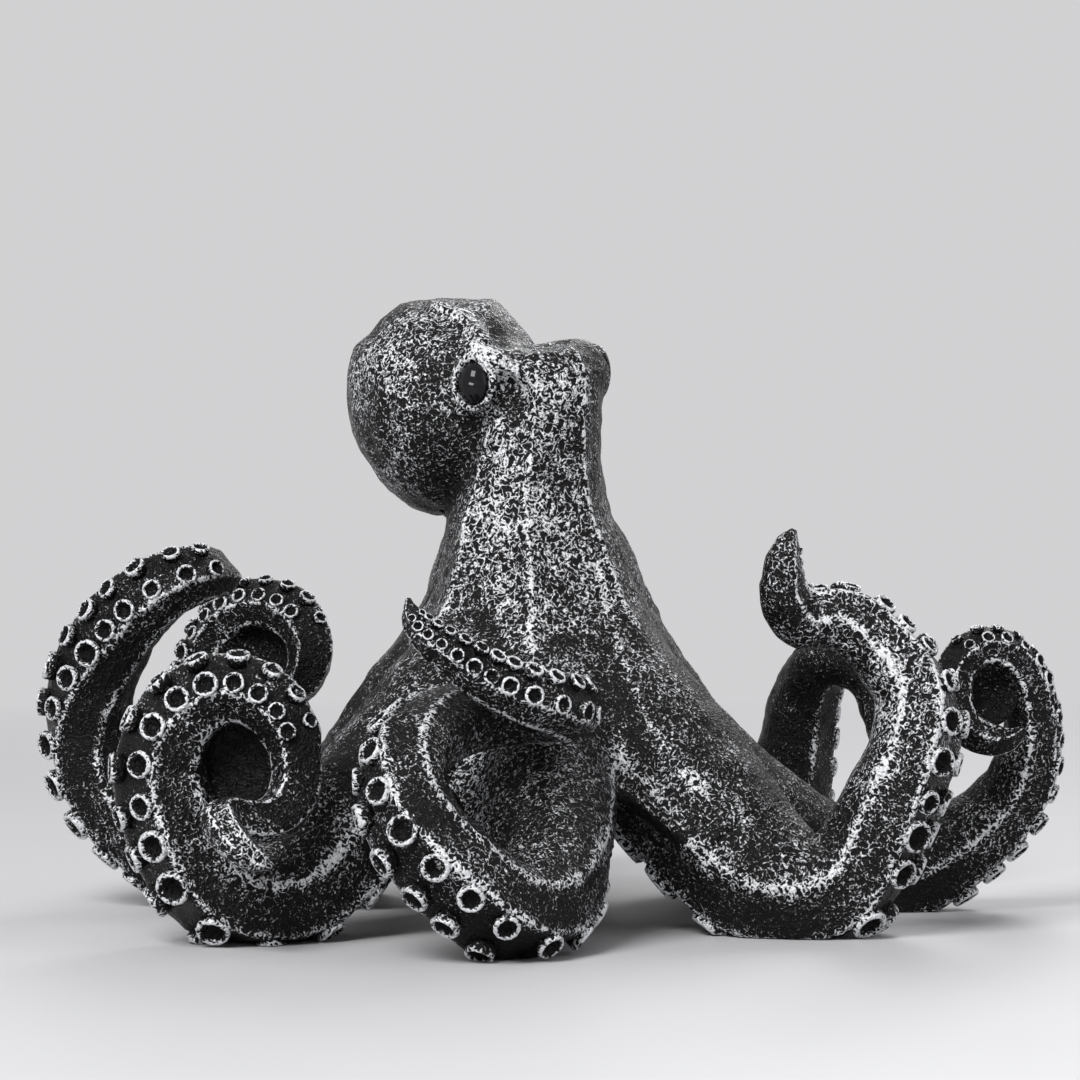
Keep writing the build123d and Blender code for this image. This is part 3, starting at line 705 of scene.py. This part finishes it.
def skirt_rings(rows, sides):
    """Neck and web: the profile carried round the folds, its edge rolled over and its underside.

    Wear grows along the folds, and by a bell curve towards the middle of the front, where the added silver is
    partly heavier brushing and partly painted light.
    """
    front_turn, front_spreads = math.radians(100), (1.0, 0.9)
    turns = round_turns(sides)
    middle = between_folds(turns)
    profile = skirt_profile.copy()
    profile[0, 0] = 0.6
    lengths = path_lengths(profile)
    ends = np.interp(hem_reach(middle), profile[:, 0], lengths)
    ways = np.linspace(0, 1, rows)[:, None] * ends
    reach, height = (np.interp(ways, lengths, values) for values in profile.T)
    width = reach * panel(reach, middle)
    height = height - sag(reach, middle)
    middle_x, middle_y = neck_middle(height)
    deep = width * np.sin(turns) / SKIRT_FLATTENING
    points = np.stack((middle_x + width * np.cos(turns), middle_y + deep, height), -1)
    down = np.gradient(points, axis=0)
    round_about = np.roll(points, -1, axis=1) - np.roll(points, 1, axis=1)
    outward = unit(np.cross(down, round_about))
    landed = land(points, outward, 9.0, "neck", list(FOLDS))
    landed = roughened(landed, outward)
    tangent = unit(points[-1] - points[-2])
    bend = np.radians((40, 90, 140))[:, None, None]
    middle_edge = points[-1] - outward[-1] * WEB_THICKNESS / 2
    rim = middle_edge + WEB_THICKNESS / 2 * (outward[-1] * np.cos(bend) + tangent * np.sin(bend))
    kept = np.linspace(rows - 1, rows * 0.42, rows // 4).astype(int)
    under = points[kept] - outward[kept] * WEB_THICKNESS
    ridge = np.clip(1 - middle / 0.13, 0, 1) * np.clip((height - 20) / 24, 0, 1)
    front = np.max([np.exp(-((sense * turns + front_turn * sense) % (2 * np.pi) / spread) ** 2)
                    for sense, spread in zip((1, -1), front_spreads)], axis=0)
    # More silver on the neck's front: partly heavier brushing, partly painted light
    brushed_and_lit_front = front * np.clip((height - 10) / 20, 0, 1) * np.clip((116 - height) / 8, 0, 1)
    wear_and_painted_light = NECK_WEAR + FOLD_MORE * ridge + FRONT_BRUSH_AND_LIGHT * brushed_and_lit_front + brushed_and_painted_light(landed)
    low = np.full((3 + len(kept), sides), UNDER_WEAR)
    return np.concatenate((landed, rim, under)), np.concatenate((wear_and_painted_light, low))


def mantle_rings(rows, sides):
    """Mantle: latitude and longitude on its front outline and depth, landed on the skin."""
    latitude = (np.pi * (np.arange(rows) + 0.5) / rows - np.pi / 2)[:, None]
    turns = round_turns(sides)
    across, behind = np.cos(latitude) * np.cos(turns), np.cos(latitude) * np.sin(turns)
    above = np.broadcast_to(np.sin(latitude), across.shape)
    radius = mantle_radius(np.arctan2(above, across))
    offset = np.stack((radius * across, MANTLE_DEPTH * behind, radius * above), -1)
    points = MANTLE_PLACE + offset
    outward = unit(offset)
    landed = land(points, outward, 3.0, "mantle", [])
    return roughened(landed, outward), MANTLE_WEAR + brushed_and_painted_light(landed)


def eye_frame(index):
    """Middle of an eye's ball on its brow, and its axes: aside, up and where it looks."""
    gaze = unit(np.array(GAZES[index]))
    place, radius = BROWS[index]
    aside = unit(np.cross((0.0, 0.0, 1.0), gaze))
    return np.array(place) + gaze * (radius - EYE_DEPTHS[index]), aside, np.cross(gaze, aside), gaze


def lid_rings(index):
    """Lid: a ring of round section carried round an upright oval, half sunk in the brow, thicker above."""
    place, aside, up, gaze = eye_frame(index)
    turns, bends = round_turns(48), round_turns(12)
    cosine, sine = np.cos(turns)[:, None], np.sin(turns)[:, None]
    oval = cosine * aside * LID_WIDTH + sine * up * LID_HEIGHT
    out = unit(cosine * aside * LID_HEIGHT + sine * up * LID_WIDTH)
    middle = place + oval + gaze * LID_LIFT
    girth, more_above, out_stretch = 0.85, 0.20, 1.2
    girth = girth + more_above * np.sin(turns)
    ring = np.cos(bends)[None, :, None] * out[:, None] + np.sin(bends)[None, :, None] * gaze * out_stretch
    ring = middle[:, None] + ring * girth[:, None, None]
    wear_and_painted_light = 0.55 + 0.35 * np.clip(np.sin(bends), 0, 1) * np.clip(0.6 + np.sin(turns), 0.3, 1)[:, None]
    return ring, wear_and_painted_light


def eye_rings(index):
    """Eye: a half ball closed by its flat back, with a slit pressed in as a narrow valley."""
    slit_width, slit_length, slit_depth = 0.09, 0.75, 0.07
    place, aside, up, gaze = eye_frame(index)
    falls = np.concatenate((np.linspace(0.02, 0.5, 30) * np.pi, (np.pi / 2,)))
    turns = round_turns(64)
    wide = np.sin(falls)[:, None]
    x, y = wide * np.cos(turns), wide * np.sin(turns)
    z = np.broadcast_to(np.cos(falls)[:, None], x.shape).copy()
    slit = np.exp(-((y + 0.25 * x) / slit_width) ** 2) * np.clip(1.1 - (x / slit_length) ** 2, 0, 1)
    z -= slit_depth * slit * (z > 0.05)
    points = place + BALL_WIDTH * x[..., None] * aside + BALL_HEIGHT * y[..., None] * up
    points = points + BALL_DEPTH * z[..., None] * gaze
    points[-1] -= gaze * BALL_BACK
    return points, np.zeros(x.shape)


# Finishes

def add_node(tree, kind, **sockets):
    """A node with its constant inputs set by name."""
    node = tree.nodes.new(kind)
    for key, value in sockets.items():
        node.inputs[key.replace("_", " ")].default_value = value
    return node


def noise_node(tree, where, scale, detail, roughness, distortion=0.0):
    """A noise texture on the object's own coordinates."""
    node = add_node(tree, "ShaderNodeTexNoise", Scale=scale, Detail=detail, Roughness=roughness,
                    Distortion=distortion)
    tree.links.new(where, node.inputs["Vector"])
    return node.outputs["Factor" if "Factor" in node.outputs else "Fac"]


def maths(tree, operation, *values, clamp=False):
    """A math node on sockets or numbers."""
    node = tree.nodes.new("ShaderNodeMath")
    node.operation = operation
    node.use_clamp = clamp
    for socket, value in zip(node.inputs, values):
        if isinstance(value, (int, float)):
            socket.default_value = value
        else:
            tree.links.new(value, socket)
    return node.outputs[0]


def spread(tree, value, low, gain):
    """How far a value lies above low, times a gain, held between 0 and 1."""
    return maths(tree, "MULTIPLY", maths(tree, "SUBTRACT", value, low), gain, clamp=True)


def new_material(name):
    """A material with its node tree, its shader and the object's own coordinates."""
    material = bpy.data.materials.new(name)
    material.use_nodes = True
    tree = material.node_tree
    where = tree.nodes.new("ShaderNodeTexCoord").outputs["Object"]
    return material, tree, tree.nodes["Principled BSDF"], where


def add_bump(tree, shader, height, strength, distance):
    """Raises the shader's normal by a height."""
    bump = add_node(tree, "ShaderNodeBump", Strength=strength, Distance=distance)
    tree.links.new(height, bump.inputs["Height"])
    tree.links.new(bump.outputs["Normal"], shader.inputs["Normal"])


def backdrop_mix(tree, base, seen, share, output):
    """Shows the base, and a share of the seen shader to the rays that seen_rays picks."""
    either = tree.nodes.new("ShaderNodeMixShader")
    tree.links.new(share, either.inputs["Fac"])
    tree.links.new(base, either.inputs[1])
    tree.links.new(seen, either.inputs[2])
    tree.links.new(either.outputs["Shader"], tree.nodes[output].inputs["Surface"])


def seen_rays(tree):
    """1 for rays from the camera, mirrors and glass, 0 for the others, which light the object."""
    path = tree.nodes.new("ShaderNodeLightPath")
    share = path.outputs["Is Camera Ray"]
    for ray in ("Is Glossy Ray", "Is Transmission Ray"):
        share = maths(tree, "MAXIMUM", share, path.outputs[ray])
    return share


def resin_finish(finish):
    """Black cast resin whose raised grain is dry-brushed silver, more where the wear is high; the wear
    carries painted light and painted shade as well.

    Its height mixes crests, where a noise passes its middle, with specks. The silver is how far the sum of
    height, wear with its painted light and shade, and a slow drift passes a threshold.
    """
    crest_share, threshold, contrast, metal = 0.62, 0.64, 3.4, 0.40
    material, tree, shader, where = new_material("dry_brushed_resin")
    shader.inputs["Specular IOR Level"].default_value = 0.14
    # The wear attribute holds painted light and shade besides the brush wear
    wear_and_painted_light = tree.nodes.new("ShaderNodeAttribute")
    wear_and_painted_light.attribute_name = "wear_and_painted_light"
    pitch = finish.grain_pitch
    worms = noise_node(tree, where, 0.74 / pitch, 1.0, 0.5, 0.6)
    folds = maths(tree, "ABSOLUTE", maths(tree, "SUBTRACT", worms, 0.5))
    crests = maths(tree, "SUBTRACT", 1.0, maths(tree, "MULTIPLY", folds, 6.0, clamp=True), clamp=True)
    specks = spread(tree, noise_node(tree, where, 1.9 / pitch, 2.0, 0.65), 0.36, 3.2)
    patches = noise_node(tree, where, 95.0, 3.0, 0.55)
    height = maths(tree, "ADD", maths(tree, "MULTIPLY", crests, crest_share),
                   maths(tree, "MULTIPLY", specks, 1 - crest_share))
    level = maths(tree, "MULTIPLY", maths(tree, "SUBTRACT", wear_and_painted_light.outputs["Fac"], 0.5), 0.9)
    drift = maths(tree, "MULTIPLY", maths(tree, "SUBTRACT", patches, 0.5), 0.7)
    amount = maths(tree, "ADD", maths(tree, "ADD", height, level), drift)
    silver = maths(tree, "POWER", spread(tree, amount, threshold - finish.silver_share, contrast), 1.4)
    colour = tree.nodes.new("ShaderNodeMix")
    colour.data_type = "RGBA"
    tree.links.new(silver, colour.inputs["Factor"])
    colour.inputs[6].default_value = (*finish.base_colour, 1)
    colour.inputs[7].default_value = (*finish.silver_colour, 1)
    tree.links.new(colour.outputs[2], shader.inputs["Base Color"])
    tree.links.new(maths(tree, "MULTIPLY", silver, metal), shader.inputs["Metallic"])
    sheen = maths(tree, "ADD", maths(tree, "MULTIPLY", silver, 0.05), 0.36)
    tree.links.new(sheen, shader.inputs["Roughness"])
    add_bump(tree, shader, height, 0.9, 0.40 * pitch)
    return material


def eye_finish(finish):
    """Black lacquer, nearly a mirror, with faint brush marks in its roughness."""
    material, tree, shader, where = new_material("eye_lacquer")
    shader.inputs["Base Color"].default_value = (*finish.eye_colour, 1)
    shader.inputs["Specular IOR Level"].default_value = 0.22
    marks = noise_node(tree, where, 900.0, 3.0, 0.5)
    sheen = maths(tree, "ADD", maths(tree, "MULTIPLY", marks, 0.08), 0.04)
    tree.links.new(sheen, shader.inputs["Roughness"])
    add_bump(tree, shader, marks, 0.15, 0.0002)
    return material


def floor_finish(stage):
    """Matt paint with a faint mottling in its sheen, which fades into the backdrop's colour far away."""
    fade_start, fade_gain = 0.30, 1.6
    material, tree, shader, where = new_material("floor_paint")
    shader.inputs["Base Color"].default_value = (*stage.floor_colour, 1)
    mottle = noise_node(tree, where, 30.0, 4.0, 0.5)
    sheen = maths(tree, "ADD", maths(tree, "MULTIPLY", mottle, 0.1), 0.45)
    tree.links.new(sheen, shader.inputs["Roughness"])
    far = tree.nodes.new("ShaderNodeVectorMath")
    far.operation = "LENGTH"
    tree.links.new(where, far.inputs[0])
    fade = spread(tree, far.outputs["Value"], fade_start, fade_gain)
    backdrop = add_node(tree, "ShaderNodeEmission", Color=(*stage.backdrop_colour, 1), Strength=1.0)
    share = maths(tree, "MULTIPLY", fade, seen_rays(tree))
    backdrop_mix(tree, shader.outputs["BSDF"], backdrop.outputs["Emission"], share, "Material Output")
    return material


def finish_for(name, maker, finish):
    """The material of that name, made once."""
    return bpy.data.materials.get(name) or maker(finish)


# Sizes and colours that a user may change

def colour_property(name, description, default):
    """A colour in the panel."""
    return FloatVectorProperty(name=name, description=description, subtype="COLOR", default=default)


class OctopusSizes(bpy.types.PropertyGroup):
    """How finely the arms are followed, and their suckers."""

    arm_rows: IntProperty(name="Arm rows", description="Rings along each arm", default=300, min=40)
    arm_sides: IntProperty(name="Arm sides", description="Points round each arm", default=72, min=24)
    sucker_share: FloatProperty(
        name="Sucker size", description="Sucker radius as a share of the arm's half width", default=0.30)
    sucker_spacing: FloatProperty(
        name="Sucker spacing", description="Step from sucker to sucker in diameters", default=1.16)
    sucker_sides: IntProperty(name="Sucker sides", description="Points round each sucker", default=12)


class OctopusFinish(bpy.types.PropertyGroup):
    """Colours and grain."""

    base_colour: colour_property("Resin", "Colour of the bare resin", (0.004, 0.004, 0.0045))
    silver_colour: colour_property("Silver", "Colour of the brushed grain", (0.80, 0.81, 0.83))
    eye_colour: colour_property("Eyes", "Colour of the lacquered eyes", (0.006, 0.006, 0.007))
    grain_pitch: FloatProperty(
        name="Grain pitch", description="Distance from crest to crest of the grain", default=0.0009,
        unit="LENGTH", precision=4)
    silver_share: FloatProperty(
        name="More silver", description="Share of the grain that is silver as well, or less", default=0.0)


class OctopusStage(bpy.types.PropertyGroup):
    """Floor, backdrop, lights and camera."""

    floor_colour: colour_property("Floor", "Colour of the floor", (0.62, 0.62, 0.63))
    backdrop_colour: colour_property("Backdrop", "Colour behind the figurine", (0.64, 0.64, 0.65))
    camera_distance: FloatProperty(
        name="Camera distance", description="From the camera to the neck", default=0.680, unit="LENGTH")
    camera_height: FloatProperty(
        name="Camera height", description="Height of the camera", default=0.075, unit="LENGTH")
    camera_lens: FloatProperty(name="Lens", description="Focal length", default=113.33, unit="CAMERA")


# Operators

class OCTOPUS_OT_body(bpy.types.Operator):
    """Build the mantle, head with its lids, neck, web and shoulders"""

    bl_idname = "octopus.body"
    bl_label = "Body"

    def execute(self, context):
        sizes, finish = context.scene.octopus_sizes, context.scene.octopus_finish
        shells = Shells()
        shells.add(*skirt_rings(*SKIRT_GRID))
        shells.add(*mantle_rings(*MANTLE_GRID))
        for index in range(len(BROWS)):
            shells.add(*lid_rings(index), loop=True)
        for name, arm in arms.items():
            shells.add(*arm_rings(name, SHOULDER_START, arm.joint, SHOULDER_ROWS, sizes.arm_sides))
            shells.add(*sucker_cups(name, FIRST_SUCKER, arm.joint, sizes))
        body = shells.build("octopus_body", finish_for("dry_brushed_resin", resin_finish, finish))
        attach(body, "root")
        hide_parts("body")
        return {"FINISHED"}


class OCTOPUS_OT_eyes(bpy.types.Operator):
    """Build the two eyes"""

    bl_idname = "octopus.eyes"
    bl_label = "Eyes"

    def execute(self, context):
        finish = context.scene.octopus_finish
        for index, side in enumerate(("left", "right")):
            ball = Shells()
            ball.add(*eye_rings(index))
            eye = ball.build("octopus_eye_" + side, finish_for("eye_lacquer", eye_finish, finish))
            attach(eye, "root")
            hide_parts("eye_" + side)
        return {"FINISHED"}


class OCTOPUS_OT_arms(bpy.types.Operator):
    """Build the eight curled arms with their two rows of suckers"""

    bl_idname = "octopus.arms"
    bl_label = "Arms"

    def execute(self, context):
        sizes, finish = context.scene.octopus_sizes, context.scene.octopus_finish
        for name, arm in arms.items():
            shells = Shells()
            shells.add(*arm_rings(name, arm.joint, 1.0, sizes.arm_rows, sizes.arm_sides))
            shells.add(*sucker_cups(name, arm.joint, 1.0, sizes))
            if name in CURLS:
                shells.add(*curl_rings(name))
            piece = shells.build("octopus_" + name, finish_for("dry_brushed_resin", resin_finish, finish))
            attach(piece, "root")
            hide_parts(name)
        return {"FINISHED"}


def area_light(name, place, aim, size, power):
    """A square lamp that faces its aim."""
    lamp = bpy.data.lights.new(name, "AREA")
    lamp.size = size
    lamp.energy = power
    holder = bpy.data.objects.new(name, lamp)
    holder.location = place
    holder.rotation_euler = (Vector(aim) - Vector(place)).to_track_quat("-Z", "Y").to_euler()
    bpy.context.scene.collection.objects.link(holder)


class OCTOPUS_OT_stage(bpy.types.Operator):
    """Set the floor, the lights, the world and the camera"""

    bl_idname = "octopus.stage"
    bl_label = "Stage"

    def execute(self, context):
        scene, stage = context.scene, context.scene.octopus_stage
        corners = [(x * FLOOR_REACH, y * FLOOR_REACH, -FLOOR_DROP)
                   for x, y in ((-1, -1), (1, -1), (1, 1), (-1, 1))]
        mesh = bpy.data.meshes.new("floor")
        mesh.from_pydata(corners, [], [(0, 1, 2, 3)])
        floor = bpy.data.objects.new("floor", mesh)
        mesh.materials.append(floor_finish(stage))
        scene.collection.objects.link(floor)
        for lamp in LAMPS:
            area_light(*lamp)
        world = bpy.data.worlds.new("studio")
        world.use_nodes = True
        tree = world.node_tree
        light = add_node(tree, "ShaderNodeBackground", Color=WORLD_COLOUR, Strength=WORLD_STRENGTH)
        seen = add_node(tree, "ShaderNodeBackground", Color=(*stage.backdrop_colour, 1), Strength=1.0)
        backdrop_mix(tree, light.outputs["Background"], seen.outputs["Background"], seen_rays(tree),
                     "World Output")
        scene.world = world
        camera = bpy.data.objects.new("camera", bpy.data.cameras.new("camera"))
        camera.data.sensor_width = 36.0
        camera.data.lens = stage.camera_lens
        x, y, _ = WEB_PLACE * MILLIMETRE
        camera.location = (x, y - stage.camera_distance, stage.camera_height)
        camera.rotation_euler = (math.radians(90), 0, 0)
        scene.collection.objects.link(camera)
        scene.camera = camera
        scene.view_settings.view_transform = "Standard"
        return {"FINISHED"}


class OCTOPUS_PT_panel(bpy.types.Panel):
    """Lists the figurine's builders and settings"""

    bl_idname = "OCTOPUS_PT_panel"
    bl_label = "Octopus Figurine"
    bl_space_type = "VIEW_3D"
    bl_region_type = "UI"
    bl_category = "Octopus"

    def draw(self, context):
        for name in GROUPS:
            group, box = getattr(context.scene, name), self.layout.box()
            for key in group.__annotations__:
                box.prop(group, key)
        for builder in BUILDERS:
            self.layout.operator(builder.bl_idname)


GROUPS = {"octopus_sizes": OctopusSizes, "octopus_finish": OctopusFinish, "octopus_stage": OctopusStage}
BUILDERS = (OCTOPUS_OT_body, OCTOPUS_OT_eyes, OCTOPUS_OT_arms, OCTOPUS_OT_stage)
CLASSES = (*GROUPS.values(), *BUILDERS, OCTOPUS_PT_panel)


def register():
    for item in CLASSES:
        bpy.utils.register_class(item)
    for name, group in GROUPS.items():
        setattr(bpy.types.Scene, name, PointerProperty(type=group))


def unregister():
    for name in GROUPS:
        delattr(bpy.types.Scene, name)
    for item in reversed(CLASSES):
        bpy.utils.unregister_class(item)


def main():
    register()
    bpy.ops.octopus.body()
    bpy.ops.octopus.eyes()
    bpy.ops.octopus.arms()
    bpy.ops.octopus.stage()


if __name__ == "__main__":
    main()
